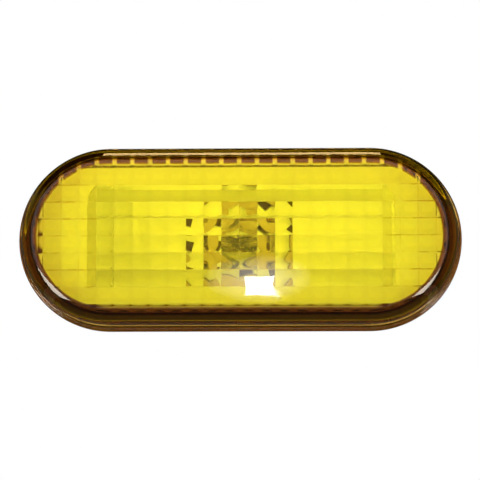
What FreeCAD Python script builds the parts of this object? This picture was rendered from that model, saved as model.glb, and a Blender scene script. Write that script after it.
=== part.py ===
import FreeCAD, Part
import math
import os
import re
import Sketcher

# A stadium-shaped amber side indicator lamp for a vehicle's wing, as it sits in the panel: the lens looks
# to -Y, the long axis is X and +Z is up. The origin is the middle of the gasket's face on the panel, so
# the lens stands in front of y = 0, and the housing, bulb holder and plug are behind it.

doc = FreeCAD.newDocument("side_indicator_lamp")
dim = doc.addObject("Spreadsheet::Sheet", "dim")

# Driving sizes in millimetres: alias, value, meaning
driving = [
    ("lens_length", "96", "lens flange, end to end"),
    ("lens_height", "40", "lens flange, top to bottom; the ends are half circles"),
    ("lens_proud", "10", "back of the flange to the lens face"),
    ("lens_edge", "3", "rounding where the face turns into the side wall"),
    ("lens_wall", "2.2", "side wall of the lens"),
    ("lens_face", "2.3", "face of the lens, without its pillows"),
    ("lens_inside_edge", "1", "bevel inside, between face and side wall"),
    ("flange_ledge", "1", "flange beyond the side wall"),
    ("flange_thick", "2", "flange, front to back"),
    ("flange_edge", "0.4", "bevels of the flange's rim"),
    ("rebate_step", "1", "step in the lens where the housing plate is welded in"),
    ("weld_gap", "0.1", "play round the housing plate"),
    ("pillow_long", "3.83", "pitch of the optic pillows along the lens"),
    ("pillow_tall", "3.67", "pitch of the optic pillows up the lens"),
    ("pillow_rise", "0.5", "bulge of one pillow, edge to middle"),
    ("pillow_flat", "0.42", "flat top of a pillow, as a share of its cell"),
    ("pillow_step", "0.1", "pillow edge above the plain inside face"),
    ("gasket_thick", "2", "gasket between lens and panel"),
    ("gasket_inset", "0.5", "gasket's outline inside the flange's"),
    ("gasket_gap", "0.4", "gasket round the housing box"),
    ("box_end_margin", "15", "inside of the box to the end of the lens"),
    ("box_side_margin", "9", "inside of the box to the top of the lens"),
    ("box_wall", "1.6", "side walls of the box"),
    ("box_corner", "2", "inside corners of the box"),
    ("box_depth", "12", "panel to the inside of the box's back wall"),
    ("back_wall", "1.8", "back wall of the box"),
    ("back_edge", "0.8", "bevel round the back wall"),
    ("socket_bore", "16", "round hole for the bulb holder"),
    ("barrel_gap", "0.1", "play between that hole and the holder's barrel"),
    ("boss_height", "0.6", "raised face round the hole, under the seal"),
    ("lug_reach", "2", "bayonet lugs beyond the barrel"),
    ("lug_width", "4", "bayonet lugs across"),
    ("lug_thick", "1.8", "bayonet lugs, front to back"),
    ("lug_turn", "45", "degrees from locked to free"),
    ("turn_gap", "0.3", "play behind and round the lugs"),
    ("seal_thick", "1.5", "seal under the holder's flange"),
    ("seal_gap", "0.05", "seal to the housing, before it is squeezed"),
    ("holder_flange_thick", "2", "flange of the bulb holder"),
    ("plug_width", "16", "plug shroud across"),
    ("plug_height", "10", "plug shroud, top to bottom"),
    ("plug_wall", "1.5", "walls of the plug shroud"),
    ("plug_depth", "10", "plug shroud from its floor to its mouth"),
    ("floor_thick", "2", "floor between bulb and plug"),
    ("tab_width", "2.8", "contact strip across"),
    ("tab_thick", "0.6", "contact strip, thickness"),
    ("tab_spacing", "7.4", "between the two contacts' middles"),
    ("tab_gap", "0.05", "play round a contact in its slot"),
    ("bulb_diameter", "10.2", "glass of the wedge-base bulb"),
    ("bulb_length", "25.5", "glass, tip to the end of its wedge"),
    ("bulb_wall", "0.6", "glass wall"),
    ("wedge_width", "9.5", "wedge base across"),
    ("wedge_thick", "2.1", "wedge base, thickness"),
    ("wedge_seat", "9.2", "length of wedge inside the holder"),
    ("lead_wire", "0.5", "lead wires of the bulb"),
    ("lead_spacing", "6", "between the lead wires"),
    ("filament_coil", "0.8", "diameter of the filament's coil"),
    ("panel_thick", "1", "sheet of the panel the lamp clips into"),
    ("hook_reach", "3.8", "fixed hook beyond the end of the box"),
    ("hook_width", "12", "fixed hook, top to bottom"),
    ("spring_thick", "0.5", "retaining spring, strip thickness"),
    ("spring_width", "10", "retaining spring, strip width"),
    ("spring_reach", "4.8", "knee of the spring beyond the end of the box"),
    ("spring_foot", "3", "panel to the start of the spring's leg"),
    ("spring_rear", "12.2", "panel to the spring's rear bend, middle of the strip"),
    ("spring_bend", "1.15", "radius of that bend, middle of the strip"),
    ("spring_loop", "2.9", "far side of that bend beyond the end of the box"),
    ("knee_depth", "4.6", "panel to the spring's knee"),
    ("knee_bend", "0.9", "radius of the knee, middle of the strip"),
    ("lip_reach", "2.6", "free edge of the spring beyond the end of the box"),
    ("lip_depth", "0.9", "panel to that edge, middle of the strip"),
    ("rail_wall", "1.4", "rails that hold the spring's leg"),
    ("rail_lip", "1", "rails' turned edges over the strip"),
    ("rail_lip_thick", "0.9", "those edges, thickness"),
    ("rail_play", "0.15", "play between strip and rail edge"),
    ("rail_depth", "4", "panel to the start of the rails"),
    ("rail_length", "6", "rails, front to back"),
    ("catch_depth", "6", "panel to the catch in the spring's window"),
    ("catch_length", "1.6", "catch, front to back"),
    ("catch_rise", "0.7", "catch beyond the end of the box"),
    ("catch_width", "3", "catch, top to bottom"),
    ("catch_play", "0.2", "window of the spring round the catch"),
]

# Sizes that follow from them; a depth is measured from the panel along +Y
derived = [
    ("end_radius", "=lens_height / 2", "half circles of the flange"),
    ("straight", "=lens_length - lens_height", "straight part between them"),
    ("wall_radius", "=end_radius - flange_ledge", "outside of the side wall"),
    ("inner_radius", "=wall_radius - lens_wall", "inside of the side wall"),
    ("rebate_radius", "=inner_radius + rebate_step", "seat of the housing plate"),
    ("plate_radius", "=rebate_radius - weld_gap", "housing plate"),
    ("depth_rear", "=-gasket_thick", "back of the lens flange and housing plate"),
    ("depth_ledge", "=depth_rear - flange_thick", "front of the flange and of the plate"),
    ("depth_front", "=depth_rear - lens_proud", "lens face"),
    ("depth_ceiling", "=depth_front + lens_face", "inside of the lens face"),
    ("barrel_radius", "=socket_bore / 2 - barrel_gap", "holder's barrel"),
    ("lug_radius", "=barrel_radius + lug_reach", "tips of the lugs"),
    ("notch_radius", "=lug_radius + turn_gap", "notches that pass the lugs"),
    ("seal_radius", "=notch_radius + 0.5", "seal, outside"),
    ("boss_radius", "=seal_radius + 1", "raised face under the seal"),
    ("half_long", "=lens_length / 2 - box_end_margin", "half the box, inside"),
    ("half_tall", "=max(lens_height / 2 - box_side_margin; lug_radius + 0.8)", "half the box, inside"),
    ("depth_back", "=box_depth + back_wall", "outside of the box's back wall"),
    ("depth_boss", "=depth_back + boss_height", "face under the seal"),
    ("depth_holder", "=depth_boss + seal_thick", "front of the holder's flange"),
    ("depth_tail", "=depth_holder + holder_flange_thick", "back of the holder's flange"),
    ("depth_lug", "=box_depth - turn_gap - lug_thick", "front of the lugs"),
    ("depth_barrel", "=depth_lug - 0.4", "front of the barrel"),
    ("depth_wedge", "=depth_barrel + wedge_seat", "end of the bulb's wedge"),
    ("depth_tip", "=depth_wedge - bulb_length", "tip of the bulb"),
    ("bulb_radius", "=bulb_diameter / 2", "bulb glass"),
    ("depth_shoulder", "=depth_barrel - 0.3 - bulb_radius", "middle of the bulb's rear dome"),
    ("lead_leg", "=wedge_thick / 2 + lead_wire / 2 + 0.03", "folded lead, from the wedge's middle"),
    ("depth_fold", "=depth_wedge + 0.1", "where a lead starts to fold"),
    ("depth_floor", "=depth_fold + lead_leg / 2 + lead_wire / 2 + 0.2", "bottom of the bulb's cavity"),
    ("depth_plug", "=depth_floor + floor_thick", "floor of the plug shroud"),
    ("depth_mouth", "=depth_plug + plug_depth", "mouth of the plug shroud"),
    ("tab_leg", "=lead_leg + lead_wire / 2 + tab_thick / 2", "contact strip, from the wedge's middle"),
    ("cavity_long", "=tab_spacing / 2 + tab_width / 2 + 0.3", "half the bulb's cavity"),
    ("cavity_tall", "=tab_leg + tab_thick / 2 + 1", "half the bulb's cavity"),
    ("box_end", "=half_long + box_wall", "outside of the box's ends"),
    ("rail_tall", "=spring_width / 2 + 0.2", "inside of the spring's rails"),
]

for line, (alias, text, note) in enumerate(driving + derived, 1):
    dim.set(f"A{line}", note)
    dim.set(f"B{line}", text)
    dim.setAlias(f"B{line}", alias)
doc.recompute()
aliases = re.compile(r"\b(" + "|".join(row[0] for row in driving + derived) + r")\b")


def full(text):
    # an expression as the sheet's readers need it
    return aliases.sub(r"dim.\1", text)


def val(text):
    # the present value of an expression
    return float(dim.evalExpression(text))


def spot(across, up):
    return FreeCAD.Vector(val(across), val(up), 0)


def new_body(label):
    body = doc.addObject("PartDesign::Body", label)
    body.Label = label
    return body


def datum(body, role):
    return next(one for one in body.Origin.OriginFeatures if one.Role == role)


def new_sketch(body, name, role, offset="0"):
    # on one of the body's own planes, moved along that plane's normal
    sketch = body.newObject("Sketcher::SketchObject", name)
    sketch.AttachmentSupport = [(datum(body, role), "")]
    sketch.MapMode = "FlatFace"
    sketch.setExpression("AttachmentOffset.Base.z", full(offset))
    return sketch


def front_sketch(body, name, depth):
    # parallel to the panel at a depth behind it: across is X, up is Z
    return new_sketch(body, name, "XZ_Plane", f"-({depth})")


def pin(sketch, geo, pos, across, up):
    # ties a point to two expressions measured from the sketch's origin
    for kind, axis, text in (("DistanceX", -2, across), ("DistanceY", -1, up)):
        if text == "0":
            sketch.addConstraint(Sketcher.Constraint("PointOnObject", geo, pos, axis))
        else:
            spec = sketch.addConstraint(Sketcher.Constraint(kind, -1, 1, geo, pos, val(text)))
            sketch.setExpression(f"Constraints[{spec}]", full(text))


def radius(sketch, geo, text):
    spec = sketch.addConstraint(Sketcher.Constraint("Radius", geo, val(text)))
    sketch.setExpression(f"Constraints[{spec}]", full(text))


def arc(centre, size, start, end):
    # counter-clockwise from one point to another
    angles = [math.atan2(one.y - centre.y, one.x - centre.x) for one in (start, end)]
    if angles[1] <= angles[0]:
        angles[1] += 2 * math.pi
    return Part.ArcOfCircle(Part.Circle(centre, FreeCAD.Vector(0, 0, 1), size), *angles)


def chain(sketch, corners, closed):
    # straight sides through the corners, each (across, up) or (across, up, rounding)
    at = [spot(*corner[:2]) for corner in corners]
    count = len(at)
    entry, leave, bends = list(at), list(at), {}
    for n, corner in enumerate(corners):
        if len(corner) == 3:
            back = (at[n - 1] - at[n]).normalize()
            ahead = (at[(n + 1) % count] - at[n]).normalize()
            half = back.getAngle(ahead) / 2
            size = val(corner[2])
            entry[n] = at[n] + back * (size / math.tan(half))
            leave[n] = at[n] + ahead * (size / math.tan(half))
            bends[n] = (at[n] + (back + ahead).normalize() * (size / math.sin(half)), size, back.cross(ahead).z < 0)
    sides = count if closed else count - 1
    lines = []
    for n in range(sides):
        lines.append(sketch.addGeometry(Part.LineSegment(leave[n], entry[(n + 1) % count]), False))
    for n, corner in enumerate(corners):
        before = lines[n - 1] if closed or n else None
        after = lines[n] if n < sides else None
        if n in bends:
            centre, size, left = bends[n]
            ends = (entry[n], leave[n]) if left else (leave[n], entry[n])
            bend = sketch.addGeometry(arc(centre, size, *ends), False)
            sketch.addConstraint(Sketcher.Constraint("Tangent", before, 2, bend, 1 if left else 2))
            sketch.addConstraint(Sketcher.Constraint("Tangent", bend, 2 if left else 1, after, 1))
            radius(sketch, bend, corner[2])
            mark = sketch.addGeometry(Part.Point(at[n]), True)
            sketch.addConstraint(Sketcher.Constraint("PointOnObject", mark, 1, before))
            sketch.addConstraint(Sketcher.Constraint("PointOnObject", mark, 1, after))
            pin(sketch, mark, 1, *corner[:2])
        elif before is None:
            pin(sketch, after, 1, *corner[:2])
        else:
            if after is not None:
                sketch.addConstraint(Sketcher.Constraint("Coincident", before, 2, after, 1))
            pin(sketch, before, 2, *corner[:2])


def loop(sketch, *corners):
    chain(sketch, corners, True)


def path(sketch, *corners):
    chain(sketch, corners, False)


def block(sketch, long, tall, rounding=None):
    # a rectangle about the origin, given by its halves
    end = (rounding,) if rounding else ()
    loop(
        sketch,
        (f"-({long})", f"-({tall})") + end,
        (long, f"-({tall})") + end,
        (long, tall) + end,
        (f"-({long})", tall) + end,
    )


def disc(sketch, size, across="0", up="0"):
    geo = sketch.addGeometry(Part.Circle(spot(across, up), FreeCAD.Vector(0, 0, 1), val(size)), False)
    pin(sketch, geo, 3, across, up)
    radius(sketch, geo, size)


def stadium(sketch, size):
    # two straight sides and two half circles
    half, r = val("straight / 2"), val(size)
    corner = [FreeCAD.Vector(x, z, 0) for x, z in ((-half, -r), (half, -r), (half, r), (-half, r))]
    low = sketch.addGeometry(Part.LineSegment(corner[0], corner[1]), False)
    right = sketch.addGeometry(arc(FreeCAD.Vector(half, 0, 0), r, corner[1], corner[2]), False)
    high = sketch.addGeometry(Part.LineSegment(corner[2], corner[3]), False)
    left = sketch.addGeometry(arc(FreeCAD.Vector(-half, 0, 0), r, corner[3], corner[0]), False)
    for one, other in ((low, right), (right, high), (high, left), (left, low)):
        sketch.addConstraint(Sketcher.Constraint("Tangent", one, 2, other, 1))
    pin(sketch, right, 3, "straight / 2", "0")
    pin(sketch, left, 3, "-straight / 2", "0")
    sketch.addConstraint(Sketcher.Constraint("Equal", right, left))
    radius(sketch, right, size)


def pad(body, sketch, length, reverse=False, both=False):
    feature = body.newObject("PartDesign::Pad", sketch.Name + "_pad")
    feature.Profile = sketch
    feature.SideType = "Symmetric" if both else "One side"
    feature.setExpression("Length", full(length))
    feature.Reversed = reverse
    return feature


def pocket(body, sketch, length, reverse=False, both=False):
    feature = body.newObject("PartDesign::Pocket", sketch.Name + "_pocket")
    feature.Profile = sketch
    feature.SideType = "Symmetric" if both else "One side"
    feature.setExpression("Length", full(length))
    feature.Reversed = reverse
    cut_must_bite(body, feature)
    return feature


def turn(body, sketch, angle, cut=False):
    # about the sketch's own across axis
    feature = body.newObject("PartDesign::Groove" if cut else "PartDesign::Revolution", sketch.Name + "_turn")
    feature.Profile = sketch
    feature.ReferenceAxis = (sketch, ["H_Axis"])
    feature.Angle = angle
    if cut:
        cut_must_bite(body, feature)
    return feature


def cut_must_bite(body, feature):
    doc.recompute()
    if not feature.Shape.Volume < feature.BaseFeature.Shape.Volume - 1e-6:
        raise RuntimeError(f"{feature.Name} cuts nothing")


def mirror(body, feature, role):
    copy = body.newObject("PartDesign::Mirrored", feature.Name + "_mirror")
    copy.Originals = [feature]
    copy.MirrorPlane = (datum(body, role), [""])
    body.Tip = copy
    return copy


def round_three(body, feature):
    # three copies round the lamp's depth axis
    copy = body.newObject("PartDesign::PolarPattern", feature.Name + "_three")
    copy.Originals = [feature]
    copy.Axis = (datum(body, "Y_Axis"), [""])
    copy.Angle = 360
    copy.Occurrences = 3
    body.Tip = copy
    return copy


def soften(body, size, wanted):
    # bevels the edges whose middle the test accepts
    doc.recompute()
    base = body.Tip
    names = []
    for n, edge in enumerate(base.Shape.Edges, 1):
        middle = edge.valueAt((edge.FirstParameter + edge.LastParameter) / 2)
        if wanted(edge, middle):
            names.append(f"Edge{n}")
    feature = body.newObject("PartDesign::Chamfer", body.Name + "_soft")
    feature.Base = (base, names)
    feature.setExpression("Size", full(size))
    return feature


def sweep(body, profile, spine):
    feature = body.newObject("PartDesign::AdditivePipe", profile.Name + "_sweep")
    feature.Profile = profile
    feature.Spine = (spine, [])
    return feature


# Lens: one section carried along the straight part and turned through the half circle at each end
def lens_outline(sketch):
    loop(
        sketch,
        ("depth_rear", "0"),
        ("depth_rear", "end_radius - flange_edge"),
        ("depth_rear - flange_edge", "end_radius"),
        ("depth_ledge + flange_edge", "end_radius"),
        ("depth_ledge", "end_radius - flange_edge"),
        ("depth_ledge", "wall_radius"),
        ("depth_front", "wall_radius", "lens_edge"),
        ("depth_front", "0"),
    )


def lens_hollow(sketch):
    loop(
        sketch,
        ("depth_rear + 1", "0"),
        ("depth_rear + 1", "rebate_radius"),
        ("depth_ledge", "rebate_radius"),
        ("depth_ledge", "inner_radius"),
        ("depth_ceiling + lens_inside_edge", "inner_radius"),
        ("depth_ceiling", "inner_radius - lens_inside_edge"),
        ("depth_ceiling", "0"),
    )


shell = new_body("lens_shell")
side = new_sketch(shell, "lens_side", "YZ_Plane")
lens_outline(side)
mirror(shell, pad(shell, side, "straight", both=True), "XY_Plane")
end = new_sketch(shell, "lens_end", "YZ_Plane", "straight / 2")
lens_outline(end)
mirror(shell, turn(shell, end, 180), "YZ_Plane")
side = new_sketch(shell, "hollow_side", "YZ_Plane")
lens_hollow(side)
mirror(shell, pocket(shell, side, "straight", both=True), "XY_Plane")
end = new_sketch(shell, "hollow_end", "YZ_Plane", "straight / 2")
lens_hollow(end)
mirror(shell, turn(shell, end, 180, cut=True), "YZ_Plane")


def from_spine(point):
    # distance from the line the half circles are centred on
    return math.hypot(max(abs(point.x) - val("straight / 2"), 0), point.z)


# Optics: faceted pillows in rows inside the lens face. A cell is there when the middle of what shows of
# it lies inside the side wall, so the field's ends are stepped; the outermost row is cut by the wall.
pitch_x, pitch_z = val("pillow_long"), val("pillow_tall")
inner = val("inner_radius")
ceiling = val("depth_ceiling")
foot = ceiling + val("pillow_step")
root = ceiling - val("lens_face") / 3
half_x, half_z = pitch_x / 2, pitch_z / 2
flat_x, flat_z = half_x * val("pillow_flat"), half_z * val("pillow_flat")
top = foot + val("pillow_rise")
pillow = Part.makeBox(pitch_x, foot - root, pitch_z, FreeCAD.Vector(-half_x, root, -half_z))
pillow = pillow.fuse(
    Part.makeWedge(-half_x, foot, -half_z, -flat_z, -flat_x, half_x, top, half_z, flat_z, flat_x)
).removeSplitter()
pillows = []
for row in range(-math.ceil(inner / pitch_z), math.ceil(inner / pitch_z)):
    low, high = max(row * pitch_z, -inner), min((row + 1) * pitch_z, inner)
    for column in range(-math.ceil(val("lens_length") / pitch_x), math.ceil(val("lens_length") / pitch_x)):
        x = (column + 0.5) * pitch_x
        if high - low > 0.2 and from_spine(FreeCAD.Vector(x, 0, (low + high) / 2)) < inner:
            copy = pillow.copy()
            copy.translate(FreeCAD.Vector(x, 0, (row + 0.5) * pitch_z))
            pillows.append(copy)
field = pillows[0].multiFuse(pillows[1:]).removeSplitter()
reach = inner + val("lens_wall") / 2
half, deep = val("straight / 2"), val("lens_proud")
within = Part.makeBox(2 * half, 2 * deep, 2 * reach, FreeCAD.Vector(-half, ceiling - deep, -reach))
for x in (-half, half):
    tube = Part.makeCylinder(reach, 2 * deep, FreeCAD.Vector(x, ceiling - deep, 0), FreeCAD.Vector(0, 1, 0))
    within = within.fuse(tube)
optics = doc.addObject("Part::Feature", "optic_pillows")
optics.Shape = field.common(within)
lens = doc.addObject("Part::Fuse", "lens")
lens.Base = shell
lens.Tool = optics
lens.Refine = True

# Housing: a plate welded into the lens, and a box behind it with the holder's bayonet hole
housing = new_body("housing")
plan = front_sketch(housing, "plate", "depth_ledge")
stadium(plan, "plate_radius")
pad(housing, plan, "flange_thick", reverse=True)
plan = front_sketch(housing, "box", "depth_rear - flange_thick / 2")
block(plan, "box_end", "half_tall + box_wall", "box_corner + box_wall")
pad(housing, plan, "depth_back - depth_rear + flange_thick / 2", reverse=True)
soften(housing, "back_edge", lambda edge, middle: abs(middle.y - val("depth_back")) < 0.01)
plan = front_sketch(housing, "boss", "box_depth")
disc(plan, "boss_radius")
pad(housing, plan, "depth_boss - box_depth", reverse=True)
plan = front_sketch(housing, "box_inside", "depth_ledge")
block(plan, "half_long", "half_tall", "box_corner")
pocket(housing, plan, "box_depth - depth_ledge")
plan = front_sketch(housing, "bore", "box_depth - 0.5")
disc(plan, "socket_bore / 2")
pocket(housing, plan, "depth_boss - box_depth + 1")
plan = front_sketch(housing, "notch", "box_depth - 0.5")
aim = math.radians(90 - val("lug_turn"))
reach_in, reach_out = "(socket_bore / 2 - 1)", "notch_radius"
wide = "(lug_width / 2 + turn_gap)"
turned = "(90 - lug_turn)"
loop(
    plan,
    (f"{reach_in} * cos({turned}) + {wide} * sin({turned})", f"{reach_in} * sin({turned}) - {wide} * cos({turned})"),
    (f"{reach_out} * cos({turned}) + {wide} * sin({turned})", f"{reach_out} * sin({turned}) - {wide} * cos({turned})"),
    (f"{reach_out} * cos({turned}) - {wide} * sin({turned})", f"{reach_out} * sin({turned}) + {wide} * cos({turned})"),
    (f"{reach_in} * cos({turned}) - {wide} * sin({turned})", f"{reach_in} * sin({turned}) + {wide} * cos({turned})"),
)
round_three(housing, pocket(housing, plan, "depth_boss - box_depth + 1"))
plan = new_sketch(housing, "hook", "XY_Plane")
loop(
    plan,
    ("-box_end + 0.5", "panel_thick + 0.2"),
    ("-box_end + 0.5", "panel_thick + 6.2"),
    ("-box_end", "panel_thick + 6.2"),
    ("-box_end - hook_reach", "panel_thick + 1.4"),
    ("-box_end - hook_reach", "panel_thick + 0.2"),
)
pad(housing, plan, "hook_width", both=True)
plan = front_sketch(housing, "rail", "rail_depth")
loop(
    plan,
    ("box_end - 0.5", "rail_tall"),
    ("box_end + spring_thick + rail_play", "rail_tall"),
    ("box_end + spring_thick + rail_play", "rail_tall - rail_lip"),
    ("box_end + spring_thick + rail_play + rail_lip_thick", "rail_tall - rail_lip"),
    ("box_end + spring_thick + rail_play + rail_lip_thick", "rail_tall + rail_wall"),
    ("box_end - 0.5", "rail_tall + rail_wall"),
)
mirror(housing, pad(housing, plan, "rail_length", reverse=True), "XY_Plane")
plan = new_sketch(housing, "catch", "XY_Plane")
loop(
    plan,
    ("box_end - 0.5", "catch_depth"),
    ("box_end", "catch_depth"),
    ("box_end + catch_rise", "catch_depth + catch_length"),
    ("box_end - 0.5", "catch_depth + catch_length"),
)
pad(housing, plan, "catch_width", both=True)

# Gasket: a flat ring the shape of the flange, open round the box
gasket = new_body("gasket")
plan = front_sketch(gasket, "gasket_ring", "depth_rear")
stadium(plan, "end_radius - gasket_inset")
block(plan, "box_end + gasket_gap", "half_tall + box_wall + gasket_gap", "box_corner + box_wall + gasket_gap")
pad(gasket, plan, "gasket_thick", reverse=True)

# Retaining spring: a strip slid under the rails, bent back on itself, with a knee that snaps behind the panel
spring = new_body("retaining_spring")
spine = new_sketch(spring, "spring_path", "XY_Plane")
leg = "box_end + spring_thick / 2"
path(
    spine,
    (leg, "spring_foot"),
    (leg, "spring_rear", "spring_bend"),
    ("box_end + spring_loop", "spring_rear", "spring_bend"),
    ("box_end + spring_reach", "knee_depth", "knee_bend"),
    ("box_end + lip_reach", "lip_depth"),
)
strip = front_sketch(spring, "spring_strip", "spring_foot")
loop(
    strip,
    ("box_end", "-spring_width / 2"),
    ("box_end + spring_thick", "-spring_width / 2"),
    ("box_end + spring_thick", "spring_width / 2"),
    ("box_end", "spring_width / 2"),
)
sweep(spring, strip, spine)
plan = new_sketch(spring, "spring_window", "XY_Plane")
loop(
    plan,
    ("box_end - spring_thick", "catch_depth - catch_play"),
    ("box_end + 2 * spring_thick", "catch_depth - catch_play"),
    ("box_end + 2 * spring_thick", "catch_depth + catch_length + catch_play"),
    ("box_end - spring_thick", "catch_depth + catch_length + catch_play"),
)
pocket(spring, plan, "catch_width + 3 * catch_play", both=True)

# Bulb holder: barrel with three bayonet lugs, flange, and the plug's shroud behind
holder = new_body("bulb_holder")
plan = front_sketch(holder, "barrel", "depth_barrel")
disc(plan, "barrel_radius")
pad(holder, plan, "depth_holder - depth_barrel", reverse=True)
plan = front_sketch(holder, "holder_flange", "depth_holder")
disc(plan, "seal_radius + 0.9")
pad(holder, plan, "holder_flange_thick", reverse=True)
plan = front_sketch(holder, "shroud", "depth_tail - 0.5")
block(plan, "plug_width / 2", "plug_height / 2", "1.5")
pad(holder, plan, "depth_mouth - depth_tail + 0.5", reverse=True)
plan = front_sketch(holder, "lug", "depth_lug")
loop(
    plan,
    ("-lug_width / 2", "barrel_radius - 1"),
    ("lug_width / 2", "barrel_radius - 1"),
    ("lug_width / 2", "lug_radius", "0.5"),
    ("-lug_width / 2", "lug_radius", "0.5"),
)
round_three(holder, pad(holder, plan, "lug_thick", reverse=True))
plan = front_sketch(holder, "bulb_cavity", "depth_barrel")
block(plan, "cavity_long", "cavity_tall", "0.6")
pocket(holder, plan, "depth_floor - depth_barrel")
plan = front_sketch(holder, "plug_cavity", "depth_plug")
block(plan, "plug_width / 2 - plug_wall", "plug_height / 2 - plug_wall", "0.6")
pocket(holder, plan, "plug_depth + 1")
for sign in ("-", ""):
    plan = front_sketch(holder, "slot_low" if sign else "slot_high", "depth_floor - 0.5")
    mid, flat = f"{sign}tab_spacing / 2", f"{sign}tab_leg"
    half_w, half_t = "(tab_width / 2 + tab_gap)", "(tab_thick / 2 + tab_gap)"
    loop(
        plan,
        (f"{mid} - {half_w}", f"{flat} - {half_t}"),
        (f"{mid} + {half_w}", f"{flat} - {half_t}"),
        (f"{mid} + {half_w}", f"{flat} + {half_t}"),
        (f"{mid} - {half_w}", f"{flat} + {half_t}"),
    )
    pocket(holder, plan, "floor_thick + 1")
plan = new_sketch(holder, "latch", "YZ_Plane")
loop(
    plan,
    ("depth_mouth - 5", "plug_height / 2 - 0.5"),
    ("depth_mouth - 2", "plug_height / 2 - 0.5"),
    ("depth_mouth - 2", "plug_height / 2"),
    ("depth_mouth - 4.4", "plug_height / 2 + 1.2"),
    ("depth_mouth - 5", "plug_height / 2 + 1.2"),
)
pad(holder, plan, "4", both=True)

# Seal under the holder's flange
seal = new_body("holder_seal")
plan = new_sketch(seal, "seal_ring", "YZ_Plane")
loop(
    plan,
    ("depth_boss + seal_gap", "barrel_radius + 0.05"),
    ("depth_boss + seal_gap", "seal_radius"),
    ("depth_holder", "seal_radius"),
    ("depth_holder", "barrel_radius + 0.05"),
)
turn(seal, plan, 360)

# Contacts: each a strip that presses on one lead of the bulb and becomes a pin of the plug
for label, sign in (("contact_high", ""), ("contact_low", "-")):
    contact = new_body(label)
    spine = new_sketch(contact, label + "_path", "YZ_Plane", f"{sign}tab_spacing / 2")
    path(
        spine,
        ("depth_mouth - 1.5", "0"),
        ("depth_plug + 2.2", "0", "0.8"),
        ("depth_plug + 0.7", f"{sign}tab_leg", "0.8"),
        ("depth_barrel + 3.2", f"{sign}tab_leg", "0.8"),
        ("depth_barrel + 1.4", f"{sign}(tab_leg + 0.65)"),
    )
    strip = front_sketch(contact, label + "_strip", "depth_mouth - 1.5")
    mid = f"{sign}tab_spacing / 2"
    loop(
        strip,
        (f"{mid} - tab_width / 2", "-tab_thick / 2"),
        (f"{mid} + tab_width / 2", "-tab_thick / 2"),
        (f"{mid} + tab_width / 2", "tab_thick / 2"),
        (f"{mid} - tab_width / 2", "tab_thick / 2"),
    )
    sweep(contact, strip, spine)

# Lead wires: from the filament through the wedge, folded back along its face
for label, sign in (("bulb_lead_high", ""), ("bulb_lead_low", "-")):
    lead = new_body(label)
    spine = new_sketch(lead, label + "_path", "YZ_Plane", f"{sign}lead_spacing / 2")
    path(
        spine,
        ("depth_tip + 7", "0"),
        ("depth_fold + lead_leg / 2", "0"),
        ("depth_fold + lead_leg / 2", f"{sign}lead_leg"),
        ("depth_wedge - 5.5", f"{sign}lead_leg"),
    )
    wire = front_sketch(lead, label + "_wire", "depth_tip + 7")
    disc(wire, "lead_wire / 2", f"{sign}lead_spacing / 2", "0")
    sweep(lead, wire, spine).Transition = "Right corner"

# Bulb glass: a capsule blown hollow, pressed to a flat wedge that is sealed round the leads
blown = new_body("bulb_blown")


def capsule(sketch, size, tip, back, tip_bands, back_bands):
    # half of a capsule, its domes in a few straight bands about two depths on the across axis
    def bands(count):
        return [90 * n / count for n in range(count + 1)]

    front = [(f"{tip} - ({size}) * cos({a})", f"({size}) * sin({a})" if a else "0") for a in bands(tip_bands)]
    rear = [(f"{back} + ({size}) * cos({a})", f"({size}) * sin({a})" if a else "0") for a in bands(back_bands)]
    loop(sketch, *front, *rear[::-1])


plan = new_sketch(blown, "glass_outside", "YZ_Plane")
capsule(plan, "bulb_radius", "depth_tip + bulb_radius", "depth_shoulder", 3, 2)
turn(blown, plan, 360)
plan = front_sketch(blown, "wedge", "depth_shoulder + 1")
block(plan, "wedge_width / 2", "wedge_thick / 2", "0.5")
pad(blown, plan, "depth_wedge - depth_shoulder - 1", reverse=True)
plan = new_sketch(blown, "glass_inside", "YZ_Plane")
capsule(plan, "bulb_radius - bulb_wall", "depth_tip + bulb_radius", "depth_shoulder - 0.4", 2, 1)
turn(blown, plan, 360, cut=True)
leads = doc.addObject("Part::Fuse", "bulb_leads")
leads.Base = doc.getObject("bulb_lead_high")
leads.Tool = doc.getObject("bulb_lead_low")
glass = doc.addObject("Part::Cut", "bulb_glass")
glass.Base = blown
glass.Tool = leads

# Filament: the coil between the leads
filament = doc.addObject("Part::Cylinder", "bulb_filament")
filament.setExpression("Radius", full("filament_coil / 2"))
filament.setExpression("Height", full("lead_spacing - lead_wire"))
filament.Placement = FreeCAD.Placement(FreeCAD.Vector(0, 0, 0), FreeCAD.Rotation(FreeCAD.Vector(0, 1, 0), 90))
filament.setExpression("Placement.Base.x", full("-(lead_spacing - lead_wire) / 2"))
filament.setExpression("Placement.Base.y", full("depth_tip + 7.6"))

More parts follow.
